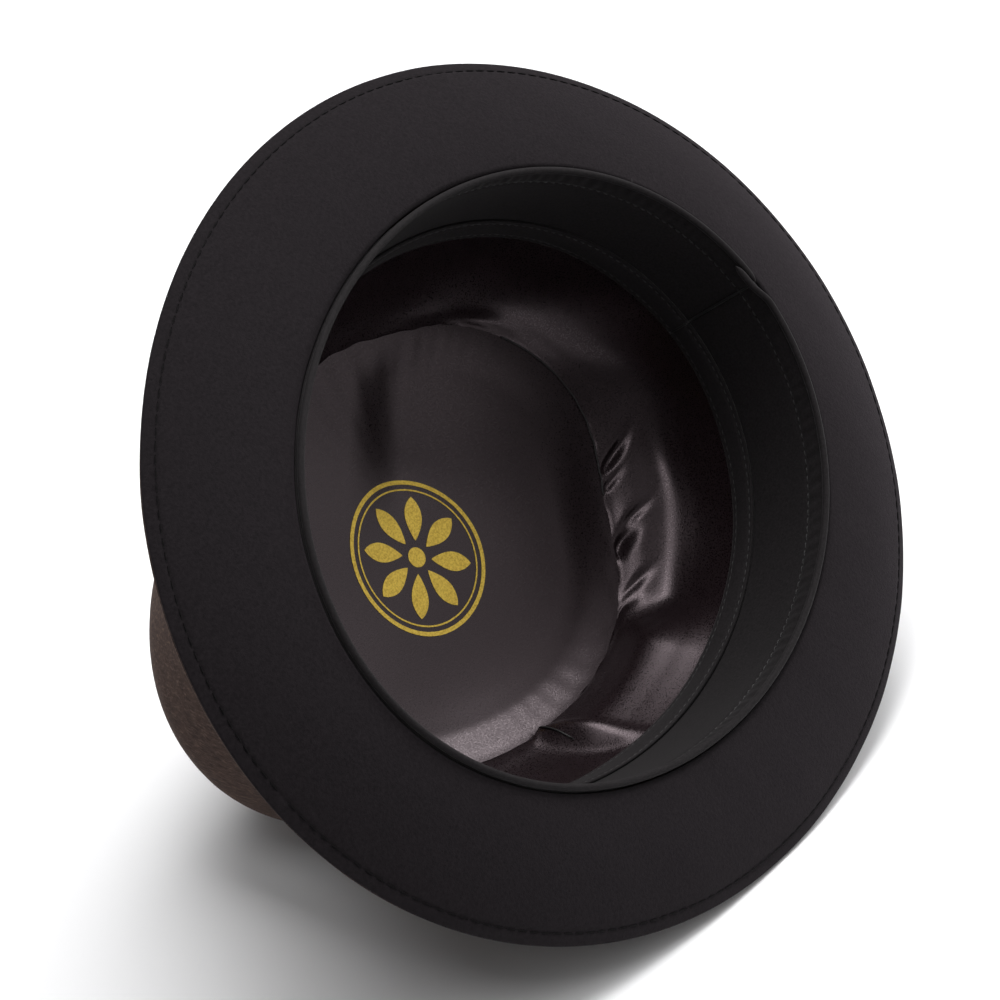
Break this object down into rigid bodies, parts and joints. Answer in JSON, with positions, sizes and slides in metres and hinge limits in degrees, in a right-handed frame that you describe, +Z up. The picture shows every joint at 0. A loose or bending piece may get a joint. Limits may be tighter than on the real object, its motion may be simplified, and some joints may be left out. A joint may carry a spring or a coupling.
{
  "type": "pork pie hat",
  "caption": "Wool-felt pork pie hat with a narrow turned-up brim and a sunk crown, lying on its side to show its satin lining and cloth sweatband.",
  "frame": {"origin": "on the floor, under the middle of the hat's box as it lies on its right side", "axes": "+Z up from the floor; -Y the way the head opening faces, the opening also turned upward; -X to the hat's front; +Y and down to the crown's top"},
  "size_m": [0.2728, 0.177, 0.1945],
  "materials": {
    "brown_felt": "heather wool felt, short fuzz, mottled brown",
    "black_felt": "wool felt, short fuzz, matt",
    "black_cord": "woven cloth over cord, matt",
    "black_band_cloth": "plain woven cloth, matt",
    "black_tape": "folded woven tape, matt",
    "black_satin": "glossy satin lining, loose folds",
    "black_satin_tip": "glossy satin lining, drawn over the sunk top"
  },
  "bodies": {
    "root": {"felt_body": "brown_felt", "underbrim": "black_felt", "piping": "black_cord", "sweatband": "black_band_cloth", "sweatband_tape": "black_tape", "lining_side": "black_satin", "lining_tip": "black_satin_tip"}
  },
  "joints": []
}
